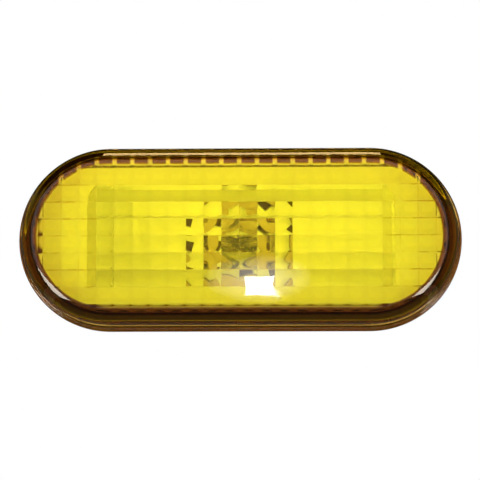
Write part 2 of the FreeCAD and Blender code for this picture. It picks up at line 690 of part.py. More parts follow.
doc.recompute()
wanted = [
    "lens",
    "housing",
    "gasket",
    "retaining_spring",
    "bulb_holder",
    "holder_seal",
    "contact_high",
    "contact_low",
    "bulb_glass",
    "bulb_lead_high",
    "bulb_lead_low",
    "bulb_filament",
]
for one in doc.Objects:
    if "Invalid" in one.State or "Error" in one.State:
        raise RuntimeError(f"{one.Name}: {one.State}")
made = {}
for label in wanted:
    piece = doc.getObjectsByLabel(label)[0]
    if piece.Shape.isNull() or not piece.Shape.isValid() or len(piece.Shape.Solids) != 1:
        raise RuntimeError(f"{label} is not one sound solid")
    made[label] = piece
os.makedirs("parts", exist_ok=True)
for label, piece in made.items():
    piece.Shape.exportStep(f"parts/{label}.step")
    box = piece.Shape.BoundBox
    print(f"{label}: {piece.Shape.Volume:.1f} mm3, {len(piece.Shape.Faces)} faces,", end=" ")
    print(f"x {box.XMin:.2f}..{box.XMax:.2f} y {box.YMin:.2f}..{box.YMax:.2f} z {box.ZMin:.2f}..{box.ZMax:.2f}")
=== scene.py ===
import bpy
import math
import numpy as np
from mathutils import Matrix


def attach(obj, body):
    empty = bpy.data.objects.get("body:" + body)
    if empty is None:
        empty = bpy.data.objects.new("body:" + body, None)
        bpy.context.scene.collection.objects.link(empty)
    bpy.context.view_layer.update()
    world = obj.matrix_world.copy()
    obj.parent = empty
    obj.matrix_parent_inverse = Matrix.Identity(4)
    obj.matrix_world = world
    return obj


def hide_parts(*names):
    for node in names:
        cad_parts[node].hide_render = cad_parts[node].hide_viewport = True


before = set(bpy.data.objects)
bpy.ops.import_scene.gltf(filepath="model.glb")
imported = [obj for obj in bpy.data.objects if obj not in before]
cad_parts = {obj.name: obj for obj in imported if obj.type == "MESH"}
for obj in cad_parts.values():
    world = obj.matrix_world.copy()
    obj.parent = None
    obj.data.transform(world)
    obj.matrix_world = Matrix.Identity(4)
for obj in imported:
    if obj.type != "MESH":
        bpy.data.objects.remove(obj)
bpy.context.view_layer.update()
mm = 0.001
rootBody, holderBody = "lamp", "bulb_socket"


# meshes
def meshPiece(name, points, faces, material, body):
    mesh = bpy.data.meshes.new(name)
    mesh.from_pydata(np.asarray(points, float).tolist(), [], [list(face) for face in faces])
    mesh.polygons.foreach_set("use_smooth", np.ones(len(mesh.polygons), bool))
    mesh.validate()
    mesh.update()
    mesh.materials.append(material)
    piece = bpy.data.objects.new(name, mesh)
    bpy.context.collection.objects.link(piece)
    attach(piece, body)
    return piece


# a line through corners, each given as across, along and, for an arc, its radius and number of points
def roundedLine(corners):
    out = []
    for n, (across, along, *arc) in enumerate(corners):
        here = np.array([across, along], float)
        if not arc:
            out.append(here[None])
            continue
        radius, count = arc
        back = np.array(corners[n - 1][:2]) - here
        ahead = np.array(corners[n + 1][:2]) - here
        back, ahead = back / np.linalg.norm(back), ahead / np.linalg.norm(ahead)
        half = math.acos(np.clip(back @ ahead, -1, 1)) / 2
        middle = here + (back + ahead) / np.linalg.norm(back + ahead) * radius / math.sin(half)
        start = here + back * radius / math.tan(half) - middle
        end = here + ahead * radius / math.tan(half) - middle
        swing = math.atan2(start[0] * end[1] - start[1] * end[0], start @ end)
        angle = np.linspace(0, swing, count)[:, None]
        side = np.array([-start[1], start[0]])
        out.append(middle + start * np.cos(angle) + side * np.sin(angle))
    return np.concatenate(out)


# quads of a tube of rings whose points are numbered from first on, then its two end rings
def ringFaces(rings, around, first=0):
    row = first + np.arange(rings)[:, None] * around + np.arange(around)
    turn = np.roll(row, -1, 1)
    return np.stack([row[:-1], row[1:], turn[1:], turn[:-1]], -1).reshape(-1, 4), row[0], row[-1]


# nodes
def newMaterial(name):
    material = bpy.data.materials.new(name)
    material.use_nodes = True
    tree = material.node_tree
    return material, tree, tree.nodes["Principled BSDF"]


def newGroup(name, inputs, outputs):
    tree = bpy.data.node_groups.new(name, "ShaderNodeTree")
    for label, kind, value in inputs:
        socket = tree.interface.new_socket(label, in_out="INPUT", socket_type="NodeSocket" + kind)
        socket.default_value = value
    for label, kind in outputs:
        tree.interface.new_socket(label, in_out="OUTPUT", socket_type="NodeSocket" + kind)
    return tree, tree.nodes.new("NodeGroupInput").outputs, tree.nodes.new("NodeGroupOutput").inputs


# a socket takes a plain value, or a link from another socket
def feed(tree, socket, value):
    if isinstance(value, bpy.types.NodeSocket):
        tree.links.new(value, socket)
    else:
        socket.default_value = value


def useGroup(tree, group, **values):
    node = tree.nodes.new("ShaderNodeGroup")
    node.node_tree = group
    for label, value in values.items():
        feed(tree, node.inputs[label], value)
    return node.outputs


def mathNode(tree, operation, *values):
    node = tree.nodes.new("ShaderNodeMath")
    node.operation = operation
    for socket, value in zip(node.inputs, values):
        feed(tree, socket, value)
    return node.outputs[0]


def product(tree, first, *others):
    for other in others:
        first = mathNode(tree, "MULTIPLY", first, other)
    return first


# low before the span, high after it, and a straight slope between
def ramp(tree, value, span, low=0.0, high=1.0):
    node = tree.nodes.new("ShaderNodeMapRange")
    labels = ("Value", "From Min", "From Max", "To Min", "To Max")
    for label, item in zip(labels, (value, *span, low, high)):
        feed(tree, node.inputs[label], item)
    return node.outputs[0]


def mixColour(tree, factor, first, second):
    node = tree.nodes.new("ShaderNodeMix")
    node.data_type = "RGBA"
    for index, value in ((0, factor), (6, first), (7, second)):  # 6 and 7 are A and B as colours
        feed(tree, node.inputs[index], value)
    return node.outputs[2]


def objectPlace(tree):
    return tree.nodes.new("ShaderNodeTexCoord").outputs["Object"]


def splitVector(tree, vector):
    node = tree.nodes.new("ShaderNodeSeparateXYZ")
    tree.links.new(vector, node.inputs[0])
    return node.outputs


def noiseNode(tree, place, scale, detail=3.0):
    noise = tree.nodes.new("ShaderNodeTexNoise")
    noise.inputs["Detail"].default_value = detail
    tree.links.new(place, noise.inputs["Vector"])
    feed(tree, noise.inputs["Scale"], scale)
    return noise.outputs[0]


def bumpNode(tree, strength, height, distance):
    bump = tree.nodes.new("ShaderNodeBump")
    bump.inputs["Distance"].default_value = distance
    tree.links.new(strength, bump.inputs["Strength"])
    tree.links.new(height, bump.inputs["Height"])
    return bump


# shared finishes
grainLook = dict(cloudSpan=(0.35, 0.65), fineSpan=(0.3, 0.7), fineDetail=2.0, edgeSamples=4, bumpDepth=0.0001)


# two blended tones, a roughness that varies with fine grain, and a bump from the same grain
def grainGroup():
    s = grainLook
    tree, given, out = newGroup("grain", [
        ("Tone", "Color", (0.5, 0.5, 0.5, 1)), ("Shade", "Color", (0.4, 0.4, 0.4, 1)),
        ("Cloud", "Float", 60.0), ("Fine", "Float", 2500.0),
        ("Smooth", "Float", 0.4), ("Rough", "Float", 0.6),
        ("Bump", "Float", 0.1), ("Soft Edge", "Float", 0.0001),
    ], [("Colour", "Color"), ("Roughness", "Float"), ("Normal", "Vector")])
    place = objectPlace(tree)
    cloudy = ramp(tree, noiseNode(tree, place, given["Cloud"]), s["cloudSpan"])
    fine = noiseNode(tree, place, given["Fine"], s["fineDetail"])
    tree.links.new(mixColour(tree, cloudy, given["Tone"], given["Shade"]), out["Colour"])
    tree.links.new(ramp(tree, fine, s["fineSpan"], given["Smooth"], given["Rough"]), out["Roughness"])
    edge = tree.nodes.new("ShaderNodeBevel")
    edge.samples = s["edgeSamples"]
    tree.links.new(given["Soft Edge"], edge.inputs["Radius"])
    bump = bumpNode(tree, given["Bump"], fine, s["bumpDepth"])
    tree.links.new(edge.outputs[0], bump.inputs["Normal"])
    tree.links.new(bump.outputs[0], out["Normal"])
    return tree


dustLook = dict(upSpan=(-0.2, 1.0), least=0.15, cloud=220.0, detail=4.0, span=(0.4, 0.7))


# pale dust that gathers on faces that look up and in the hollows of a cloudy noise
def dustGroup():
    s = dustLook
    tree, given, out = newGroup("dust", [
        ("Colour", "Color", (0.5, 0.5, 0.5, 1)), ("Dust", "Color", (0.42, 0.38, 0.32, 1)),
        ("Amount", "Float", 0.2),
    ], [("Colour", "Color")])
    up = splitVector(tree, tree.nodes.new("ShaderNodeNewGeometry").outputs["Normal"])["Z"]
    lying = ramp(tree, up, s["upSpan"], s["least"])
    patchy = ramp(tree, noiseNode(tree, objectPlace(tree), s["cloud"], s["detail"]), s["span"])
    mask = product(tree, lying, patchy, given["Amount"])
    tree.links.new(mixColour(tree, mask, given["Colour"], given["Dust"]), out["Colour"])
    return tree


# distance from the line that joins the centres of the two half-round ends, which Lift moves up, and the depth
# and height of the place, all in millimetres
def outlineGroup():
    tree, given, out = newGroup(
        "outlineDistance", [("Lift", "Float", 0.0)],
        [("Distance", "Float"), ("Depth", "Float"), ("Height", "Float")],
    )
    part = splitVector(tree, objectPlace(tree))
    long = mathNode(tree, "SUBTRACT", mathNode(tree, "ABSOLUTE", part["X"]), lens["straight"] * mm)
    long = mathNode(tree, "MAXIMUM", long, 0.0)
    tall = mathNode(tree, "SUBTRACT", part["Z"], product(tree, given["Lift"], mm))
    square = mathNode(tree, "ADD", product(tree, long, long), product(tree, tall, tall))
    far = mathNode(tree, "SQRT", square)
    for label, value in (("Distance", far), ("Depth", part["Y"]), ("Height", part["Z"])):
        tree.links.new(product(tree, value, 1 / mm), out[label])
    return tree


clearLook = dict(
    wave=160.0, waveDetail=1.0, waveDepth=0.0005,
    smear=90.0, smearDetail=5.0, smearStretch=(1.0, 1.0, 2.5), smearSpan=(0.5, 0.75),
)


# faint waviness of a moulded clear face, and smears that take its polish down
def clearGroup():
    s = clearLook
    tree, given, out = newGroup("clearFace", [
        ("Wave", "Float", 0.05), ("Smear", "Float", 0.05), ("Polish", "Float", 0.01),
    ], [("Roughness", "Float"), ("Normal", "Vector")])
    place = objectPlace(tree)
    stretch = tree.nodes.new("ShaderNodeMapping")
    stretch.inputs["Scale"].default_value = s["smearStretch"]
    tree.links.new(place, stretch.inputs["Vector"])
    smear = ramp(tree, noiseNode(tree, stretch.outputs[0], s["smear"], s["smearDetail"]), s["smearSpan"])
    rough = mathNode(tree, "ADD", given["Polish"], product(tree, smear, given["Smear"]))
    tree.links.new(rough, out["Roughness"])
    wave = noiseNode(tree, place, s["wave"], s["waveDetail"])
    tree.links.new(bumpNode(tree, given["Wave"], wave, s["waveDepth"]).outputs[0], out["Normal"])
    return tree


# lens, in millimetres; a bend is the radius and number of points of an arc
lens = dict(
    straight=28.0, flange=20.0, wall=19.0, inner=16.8, rebate=17.8,
    rear=-2.0, ledge=-4.0, front=-12.0, ceiling=-9.7, crown=0.3,
    edgeBend=(3.5, 20), footBend=(0.3, 5), lipBend=(0.45, 7), cornerBend=(0.15, 4), ceilingBend=(0.55, 7),
    pitchX=3.83, pitchZ=3.67, columns=12, rows=5,  # optic cells, counted from the middle
    rise=0.85, step=0.1, land=16.2, frontGap=0.05, trim=0.02,
    cuts=(0, 0.025, 0.14, 0.28, 0.42, 0.58, 0.72, 0.86, 0.975),  # grid lines in a cell, as shares of it
    tiny=1e-6, onLine=1e-3,
)


# distance from the line that joins the centres of the two half-round ends
def spineDistance(x, z):
    return np.hypot(np.maximum(np.abs(x) - lens["straight"], 0), z)


# flat grid on the optic cells, trimmed to a stadium: quads that reach inside it are kept, and their points
# outside it are drawn in to its edge
def cellGrid():
    s = lens

    def gridLines(count, pitch):
        return np.append(np.ravel(np.arange(-count, count)[:, None] + np.array(s["cuts"])), count) * pitch

    xs, zs = gridLines(s["columns"], s["pitchX"]), gridLines(s["rows"], s["pitchZ"])
    x, z = np.meshgrid(xs, zs, indexing="ij")
    reach = s["land"] - s["trim"]
    inside = spineDistance(x, z) < reach
    index = np.arange(x.size).reshape(x.shape)
    quads = np.stack([index[:-1, :-1], index[1:, :-1], index[1:, 1:], index[:-1, 1:]], -1).reshape(-1, 4)
    quads = quads[inside.ravel()[quads].any(1)]
    used, quads = np.unique(quads, return_inverse=True)
    quads = quads.reshape(-1, 4)
    x, z = x.ravel()[used], z.ravel()[used]
    cell = np.floor(x / s["pitchX"] + s["tiny"]), np.floor(z / s["pitchZ"] + s["tiny"])
    spine = np.clip(x, -s["straight"], s["straight"])
    far = spineDistance(x, z)
    pull = np.where(far > reach, s["land"] / np.maximum(far, s["tiny"]), 1)
    return spine + (x - spine) * pull, z * pull, spine, cell, quads


# height of a cell's cushion over the plain inside face: one minus half the squares of the place in the cell;
# a cell counts when the middle of what shows of it lies inside the wall
def cushion(x, z, cellX, cellZ):
    s = lens
    low, high = cellZ * s["pitchZ"], (cellZ + 1) * s["pitchZ"]
    middle = (np.maximum(low, -s["inner"]) + np.minimum(high, s["inner"])) / 2
    there = spineDistance((cellX + 0.5) * s["pitchX"], middle) < s["inner"]
    u = 2 * (x / s["pitchX"] - cellX) - 1
    v = 2 * (z / s["pitchZ"] - cellZ) - 1
    return np.where(there, s["step"] + s["rise"] * (1 - (u * u + v * v) / 2), 0)


# the lens is one closed skin. Its inside face is the grid of cells, each a paraboloid cushion; the front face
# is the same grid moved forward and drawn in a little; rings along the stadium join them round the flange
def lensPoints():
    s = lens
    x, z, spine, (cellX, cellZ), quads = cellGrid()
    count = len(x)
    onX = np.abs(x / s["pitchX"] - cellX) < s["onLine"]
    onZ = np.abs(z / s["pitchZ"] - cellZ) < s["onLine"]
    # a point on the line between cells takes the highest of them
    height = np.maximum.reduce([
        cushion(x, z, cellX, cellZ),
        cushion(x, z, cellX - 1, cellZ) * onX,
        cushion(x, z, cellX, cellZ - 1) * onZ,
        cushion(x, z, cellX - 1, cellZ - 1) * (onX & onZ),
    ])
    # an edge that only one quad has is on the rim, and runs as that quad does
    edges = np.stack([quads, np.roll(quads, -1, 1)], -1).reshape(-1, 2)
    keys = np.sort(edges, 1) @ np.array([count, 1])
    key, seen = np.unique(keys, return_counts=True)
    rimEdges = edges[np.isin(keys, key[seen == 1])]
    rim = np.unique(rimEdges)
    height[rim] = 0
    # the front's grid ends where its rounded edge starts
    frontLand = s["wall"] - s["edgeBend"][0] - s["frontGap"]
    scale = frontLand / s["land"]
    frontY = s["front"] + s["crown"] * (spineDistance(x, z) * scale / s["wall"]) ** 2
    inner = np.stack([x, s["ceiling"] + height, z], 1)
    outer = np.stack([spine + (x - spine) * scale, frontY, z * scale], 1)
    profile = roundedLine([
        (frontLand, s["front"] + s["crown"] * (frontLand / s["wall"]) ** 2),
        (s["wall"], s["front"] + s["crown"], *s["edgeBend"]),
        (s["wall"], s["ledge"], *s["footBend"]),
        (s["flange"], s["ledge"], *s["lipBend"]),
        (s["flange"], s["rear"], *s["lipBend"]),
        (s["rebate"], s["rear"], *s["cornerBend"]),
        (s["rebate"], s["ledge"], *s["cornerBend"]),
        (s["inner"], s["ledge"], *s["cornerBend"]),
        (s["inner"], s["ceiling"], *s["ceilingBend"]),
        (s["land"], s["ceiling"]),
    ])[1:-1]
    base = np.clip(x[rim], -s["straight"], s["straight"])
    way = np.stack([x[rim] - base, z[rim]])
    way /= np.linalg.norm(way, axis=0)
    across, along = profile.T[:, :, None]
    rings = np.stack(np.broadcast_arrays(base + across * way[0], along, across * way[1]), -1)
    points = np.concatenate([inner, outer, rings.reshape(-1, 3)])
    firstRing = 2 * count + np.searchsorted(rim, rimEdges)
    ladder = [count + rimEdges]
    ladder += [firstRing + n * len(rim) for n in range(len(profile))]
    ladder += [rimEdges]
    strips = [np.hstack([here[:, ::-1], ahead]) for here, ahead in zip(ladder, ladder[1:])]
    return points * mm, np.concatenate([quads[:, ::-1], quads + count] + strips)


grain, dust, outline, clearFace = grainGroup(), dustGroup(), outlineGroup(), clearGroup()


# clear plastic or glass: polish, smears and waves on its face, and no shadow, so that light gets behind it
def clearFinish(tree, shader, look):
    shader.inputs["IOR"].default_value = look["ior"]
    shader.inputs["Transmission Weight"].default_value = 1
    face = useGroup(tree, clearFace, Wave=look["wave"], Smear=look["smear"], Polish=look["polish"])
    tree.links.new(face["Roughness"], shader.inputs["Roughness"])
    if look["wave"]:
        tree.links.new(face["Normal"], shader.inputs["Normal"])
    clear = tree.nodes.new("ShaderNodeBsdfTransparent")
    mix = tree.nodes.new("ShaderNodeMixShader")
    tree.links.new(tree.nodes.new("ShaderNodeLightPath").outputs["Is Shadow Ray"], mix.inputs[0])
    tree.links.new(shader.outputs[0], mix.inputs[1])
    tree.links.new(clear.outputs[0], mix.inputs[2])
    tree.links.new(mix.outputs[0], tree.nodes["Material Output"].inputs["Surface"])


# spans of distance, height and depth are in millimetres, and those of gap and seam are shares of a cell
amber = dict(
    ior=1.49, polish=0.01, smear=0.05, wave=0.02, absorb=(0.998, 0.98, 0.0, 1), density=560,
    rim=(15.5, 16.5), rimShade=(0.88, 0.56, 0.3, 1),
    bandStart=(15.4, 15.65), bandEnd=(17.6, 18.1), bandEndLift=-0.45,
    low=(-15.0, -9.0), lowShade=(0.14, 0.05, 0.05, 1), highShade=(0.24, 0.09, 0.07, 1),
    gap=(0.34, 0.42), gapHeight=(8.0, 12.0),
    seam=(0.44, 0.48), columnSeam=0.35, seamShade=(0.4, 0.24, 0.12, 1), seamDepth=(-10.6, -10.4),
    seamEnds=(30.0, 33.0), seamMiddle=0.22, seamCloud=170.0, seamPatch=(0.4, 0.6),
)


def amberMaterial():
    s = amber
    material, tree, shader = newMaterial("amberLens")
    place = objectPlace(tree)
    part = splitVector(tree, place)
    away = useGroup(tree, outline)
    sunk = useGroup(tree, outline, Lift=s["bandEndLift"])

    # distance from the middle of an optic cell, a half where two cells meet
    def fromMiddle(along, pitch):
        share = mathNode(tree, "FRACT", mathNode(tree, "DIVIDE", along, pitch * mm))
        return mathNode(tree, "ABSOLUTE", mathNode(tree, "SUBTRACT", share, 0.5))

    column, row = fromMiddle(part["X"], lens["pitchX"]), fromMiddle(part["Z"], lens["pitchZ"])
    # painted shade: the lens's colour turns browner towards its rim
    tint = mixColour(tree, ramp(tree, away["Distance"], s["rim"]), (1, 1, 1, 1), s["rimShade"])
    # painted shade: a dark band round the face, darkest at the bottom and broken along the top where two
    # cells meet
    start = ramp(tree, away["Distance"], s["bandStart"])
    end = ramp(tree, sunk["Distance"], s["bandEnd"], 1.0, 0.0)
    gap = product(tree, ramp(tree, column, s["gap"]), ramp(tree, away["Height"], s["gapHeight"]))
    shadeBand = product(tree, start, end, mathNode(tree, "SUBTRACT", 1.0, gap))
    low = ramp(tree, away["Height"], s["low"], 1.0, 0.0)
    tint = mixColour(tree, shadeBand, tint, mixColour(tree, low, s["highShade"], s["lowShade"]))
    # painted shade: thin dark lines between the cells on the inside face, clearest at the ends and broken by
    # a cloudy noise
    rowSeam, columnSeam = ramp(tree, row, s["seam"]), ramp(tree, column, s["seam"], 0.0, s["columnSeam"])
    seam = mathNode(tree, "MAXIMUM", rowSeam, columnSeam)
    ends = [reach * mm for reach in s["seamEnds"]]
    ends = ramp(tree, mathNode(tree, "ABSOLUTE", part["X"]), ends, s["seamMiddle"])
    patchy = ramp(tree, noiseNode(tree, place, s["seamCloud"]), s["seamPatch"])
    inside = ramp(tree, away["Depth"], s["seamDepth"])
    tint = mixColour(tree, product(tree, seam, ends, patchy, inside), tint, s["seamShade"])
    tree.links.new(tint, shader.inputs["Base Color"])
    clearFinish(tree, shader, s)
    absorb = tree.nodes.new("ShaderNodeVolumeAbsorption")
    absorb.inputs["Color"].default_value = s["absorb"]
    absorb.inputs["Density"].default_value = s["density"]
    tree.links.new(absorb.outputs[0], tree.nodes["Material Output"].inputs["Volume"])
    return material


def grainMaterial(name, look):
    material, tree, shader = newMaterial(name)
    smooth, rough = look["rough"]
    skin = useGroup(tree, grain, **{
        "Tone": (*look["tone"], 1), "Shade": (*look["shade"], 1), "Cloud": look["cloud"],
        "Fine": look["fine"], "Smooth": smooth, "Rough": rough, "Bump": look["bump"],
        "Soft Edge": look["edge"] * mm,
    })
    film = useGroup(tree, dust, Colour=skin["Colour"], Amount=look["dust"])
    tree.links.new(film["Colour"], shader.inputs["Base Color"])
    tree.links.new(skin["Roughness"], shader.inputs["Roughness"])
    tree.links.new(skin["Normal"], shader.inputs["Normal"])
    shader.inputs["Metallic"].default_value = look.get("metal", 0.0)
    shader.inputs["Specular IOR Level"].default_value = look.get("gloss", 0.5)
    return material, tree, shader, film["Colour"]


housing = dict(
    tone=(0.92, 0.92, 0.89), shade=(0.88, 0.88, 0.85), cloud=45.0, fine=1800.0,
    rough=(0.35, 0.5), bump=0.05, edge=0.15, dust=0.05, gloss=0.05,
    shadeRing=(16.1, 16.3), shadeRingLift=0.85, shadeRingEnd=(17.28, 17.36), shadeRingDepth=(-1.8, -1.6),
    shadeRingColour=(0.1, 0.022, 0.006, 1), plate=0.88, plateDepth=(-3.9, -3.7),
)


# white plastic with painted shade: the plate is painted a little darker, and a dark ring painted at its edge
# darkens the lens rim
def housingMaterial():
    s = housing
    material, tree, shader, colour = grainMaterial("whiteHousing", s)
    away, lifted = useGroup(tree, outline), useGroup(tree, outline, Lift=s["shadeRingLift"])
    # painted shade: a dark ring painted on the plate's edge, under the lens wall, darkens the lens rim
    shadeRing = ramp(tree, lifted["Distance"], s["shadeRing"])
    ringReach = ramp(tree, away["Distance"], s["shadeRingEnd"], 1.0, 0.0)
    front = ramp(tree, away["Depth"], s["shadeRingDepth"], 1.0, 0.0)
    # painted shade: the plate, nearest the lens, is painted darker than the box behind it
    tone = tree.nodes.new("ShaderNodeVectorMath")
    tone.operation = "SCALE"
    tree.links.new(colour, tone.inputs[0])
    tree.links.new(ramp(tree, away["Depth"], s["plateDepth"], s["plate"]), tone.inputs["Scale"])
    paintedColour = mixColour(tree, product(tree, shadeRing, ringReach, front), tone.outputs[0], s["shadeRingColour"])
    tree.links.new(paintedColour, shader.inputs["Base Color"])
    return material


gasket = dict(
    tone=(0.016, 0.009, 0.006), shade=(0.024, 0.014, 0.01), cloud=90.0, fine=3000.0,
    rough=(0.6, 0.85), bump=0.15, edge=0.2, dust=0.15, gloss=0.3,
    paintedGold=(0.8, 0.46, 0.16, 1), goldEdge=(17.2, 17.8), goldLift=-0.9,
    goldHeight=(4.0, 13.0), goldDepth=(-1.9, -0.6),
)


# black rubber, with an orange band painted under the flange's edge, strongest low down: painted light that
# the lens rim shows as a gold line
def gasketMaterial():
    s = gasket
    material, tree, shader, colour = grainMaterial("blackRubber", s)
    # painted light: orange painted under the flange's edge, fading towards the top
    away = useGroup(tree, outline, Lift=s["goldLift"])
    edge = ramp(tree, away["Distance"], s["goldEdge"])
    low = ramp(tree, away["Height"], s["goldHeight"], 1.0, 0.0)
    front = ramp(tree, away["Depth"], s["goldDepth"], 1.0, 0.0)
    paintedColour = mixColour(tree, product(tree, edge, low, front), colour, s["paintedGold"])
    tree.links.new(paintedColour, shader.inputs["Base Color"])
    return material


seal = dict(
    tone=(0.22, 0.15, 0.11), shade=(0.18, 0.12, 0.09), cloud=120.0, fine=3000.0,
    rough=(0.6, 0.85), bump=0.1, edge=0.1, dust=0.1, gloss=0.3,
)
holder = dict(
    tone=(0.56, 0.45, 0.36), shade=(0.48, 0.38, 0.3), cloud=70.0, fine=3500.0,
    rough=(0.35, 0.55), bump=0.2, edge=0.15, dust=0.12,
)
spring = dict(
    tone=(0.56, 0.56, 0.55), shade=(0.44, 0.44, 0.43), cloud=160.0, fine=2600.0,
    rough=(0.2, 0.38), bump=0.06, edge=0.05, dust=0.06, metal=1.0,
)
contact = dict(
    tone=(0.72, 0.5, 0.22), shade=(0.6, 0.4, 0.17), cloud=220.0, fine=2600.0,
    rough=(0.2, 0.36), bump=0.05, edge=0.05, dust=0.03, metal=1.0,
)
lead = dict(
    tone=(0.55, 0.54, 0.52), shade=(0.42, 0.4, 0.38), cloud=300.0, fine=4000.0,
    rough=(0.2, 0.35), bump=0.04, edge=0.02, dust=0.0, metal=1.0,
)

# bulb, in millimetres; rings are counted along it, and squareness is the power of the base's section
bulb = dict(
    radius=5.1, tip=-6.8, waist=4.1, flatFrom=9.0, end=18.7, endRound=0.3, wide=4.75, thick=1.05,
    squareness=6.0, wall=0.6, floor=6.6, tipAngle=0.04, endAngle=1.4, floorAngle=0.05,
    around=72, domeRings=24, neckRings=26, baseRings=8, endRings=5, floorRings=14,
    ior=1.5, polish=0.0, smear=0.04, wave=0.0,
)


def glassMaterial():
    material, tree, shader = newMaterial("bulbGlass")
    shader.inputs["Base Color"].default_value = (1, 1, 1, 1)
    clearFinish(tree, shader, bulb)
    return material


# bulb: each section is a superellipse, a circle in the bulb that changes to a flat rounded bar in the base;
# inside is a hollow of round sections with a domed floor
def bulbPoints():
    s = bulb
    angle = np.linspace(0, 2 * math.pi, s["around"], endpoint=False)

    def skin(stations, wide, thick, power):
        c, d = np.cos(angle)[None], np.sin(angle)[None]
        wide, along, thick, power = (row[:, None] for row in (wide, stations, thick, power))
        shape = (np.abs(c) ** power + np.abs(d) ** power) ** (-1 / power)
        return np.stack(np.broadcast_arrays(wide * shape * c, along, thick * shape * d), -1)

    swing = np.linspace(s["tipAngle"], math.pi / 2, s["domeRings"])
    neck = np.linspace(s["waist"], s["flatFrom"], s["neckRings"])[1:]
    straight = np.linspace(s["flatFrom"], s["end"] - s["endRound"], s["baseRings"])[1:]
    turn = np.linspace(0, s["endAngle"], s["endRings"])[1:]
    base = np.concatenate([straight, s["end"] - s["endRound"] * (1 - np.sin(turn))])
    shrink = np.concatenate([0 * straight, s["endRound"] * (1 - np.cos(turn))])
    share = (neck - s["waist"]) / (s["flatFrom"] - s["waist"])
    flat = share * share * (3 - 2 * share)
    middle = np.array([s["waist"] / 2, s["waist"]])
    centre = s["tip"] + s["radius"]

    def halfWidth(end):
        dome, body = s["radius"] * np.sin(swing), np.full(len(middle), s["radius"])
        return np.concatenate([dome, body, s["radius"] + (end - s["radius"]) * flat, end - shrink])

    stations = np.concatenate([centre - s["radius"] * np.cos(swing), middle, neck, base])
    circle = np.full(len(swing) + len(middle), 2.0)
    power = np.concatenate([circle, 2 + (s["squareness"] - 2) * flat, np.full(len(base), s["squareness"])])
    outer = skin(stations, halfWidth(s["wide"]), halfWidth(s["thick"]), power)
    hollow = s["radius"] - s["wall"]
    close = np.linspace(0, math.pi / 2 - s["floorAngle"], s["floorRings"])[1:]
    inRear = s["waist"] + (s["floor"] - s["waist"]) * np.sin(close)
    inStations = np.concatenate([centre - hollow * np.cos(swing), middle, inRear])
    inWide = hollow * np.concatenate([np.sin(swing), np.ones(len(middle)), np.cos(close)])
    inner = skin(inStations, inWide, inWide, np.full(len(inStations), 2.0))
    faces, first, last = ringFaces(len(outer), s["around"])
    inFaces, inFirst, inLast = ringFaces(len(inner), s["around"], len(outer) * s["around"])
    points = np.concatenate([outer.reshape(-1, 3), inner.reshape(-1, 3)])
    return points * mm, [*faces, *inFaces[:, ::-1], first, last[::-1], inFirst[::-1], inLast]


filament = dict(
    tone=(0.3, 0.3, 0.31), shade=(0.2, 0.2, 0.2), cloud=900.0, fine=6000.0,
    rough=(0.3, 0.5), bump=0.05, edge=0.01, dust=0.0, metal=1.0,
    reach=2.75, body=2.0, radius=0.32, wire=0.065, turns=15, depth=0.8,
    stepsPerTurn=18, tailSteps=24, around=8, lean=(1.0, 0.02, 0.03),
)


# filament: a wire along a helix about X, the helix opening from the straight tail and closing again
def filamentPoints():
    s = filament
    x = np.linspace(-s["reach"], s["reach"], s["turns"] * s["stepsPerTurn"] + s["tailSteps"])
    swell = s["radius"] * np.clip((s["reach"] - np.abs(x)) / (s["reach"] - s["body"]), 0, 1)
    phase = np.clip(x / s["body"], -1, 1) * s["turns"] * math.pi
    spot = np.stack([x, s["depth"] + swell * np.cos(phase), swell * np.sin(phase)], 1)
    way = np.gradient(spot, axis=0)
    way /= np.linalg.norm(way, axis=1)[:, None]
    side = np.cross(way, s["lean"])
    side /= np.linalg.norm(side, axis=1)[:, None]
    up = np.cross(way, side)
    turn = np.linspace(0, 2 * math.pi, s["around"], endpoint=False)[None, :, None]
    rings = spot[:, None] + s["wire"] * (np.cos(turn) * side[:, None] + np.sin(turn) * up[:, None])
    faces, first, last = ringFaces(len(rings), s["around"])
    return rings.reshape(-1, 3) * mm, [*faces, first, last[::-1]]


lensPiece = meshPiece("lens_moulding", *lensPoints(), amberMaterial(), rootBody)
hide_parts("lens")
print("lens:", len(lensPiece.data.polygons), "faces")
bulbPiece = meshPiece("bulb_blown_glass", *bulbPoints(), glassMaterial(), holderBody)
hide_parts("bulb_glass")
tungsten = grainMaterial("tungsten", filament)[0]
filamentPiece = meshPiece("bulb_coiled_filament", *filamentPoints(), tungsten, holderBody)
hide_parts("bulb_filament")
print("bulb:", len(bulbPiece.data.polygons), "filament:", len(filamentPiece.data.polygons), "faces")

looks = {
    "housing": housingMaterial(),
    "gasket": gasketMaterial(),
    "retaining_spring": grainMaterial("springSteel", spring)[0],
    "bulb_holder": grainMaterial("greyHolder", holder)[0],
    "holder_seal": grainMaterial("sealRubber", seal)[0],
    "contact_high": grainMaterial("contactBrass", contact)[0],
    "bulb_lead_high": grainMaterial("leadMetal", lead)[0],
}
looks["contact_low"] = looks["contact_high"]
looks["bulb_lead_low"] = looks["bulb_lead_high"]
for name, look in looks.items():
    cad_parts[name].data.materials.clear()
    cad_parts[name].data.materials.append(look)
print("looks:", len(looks), "carried-over nodes")

# stage, in metres
scene = bpy.context.scene
studio = dict(seen=1.0, fill=0.12)


# the room is white to the camera and in mirrored and refracted rays, and lights the rest faintly
def worldLight():
    scene.world = bpy.data.worlds.new("studio")
    scene.world.use_nodes = True
    tree = scene.world.node_tree
    path = tree.nodes.new("ShaderNodeLightPath").outputs
    seen = mathNode(tree, "MAXIMUM", path["Is Camera Ray"], path["Is Glossy Ray"])
    seen = mathNode(tree, "MAXIMUM", seen, path["Is Transmission Ray"])
    room = tree.nodes["Background"].inputs
    room["Color"].default_value = (1, 1, 1, 1)
    tree.links.new(ramp(tree, seen, (0.0, 1.0), studio["fill"], studio["seen"]), room["Strength"])


sheet = dict(rough=0.9, gloss=0.1, shade=0.94, cloud=2.0, fine=200.0)


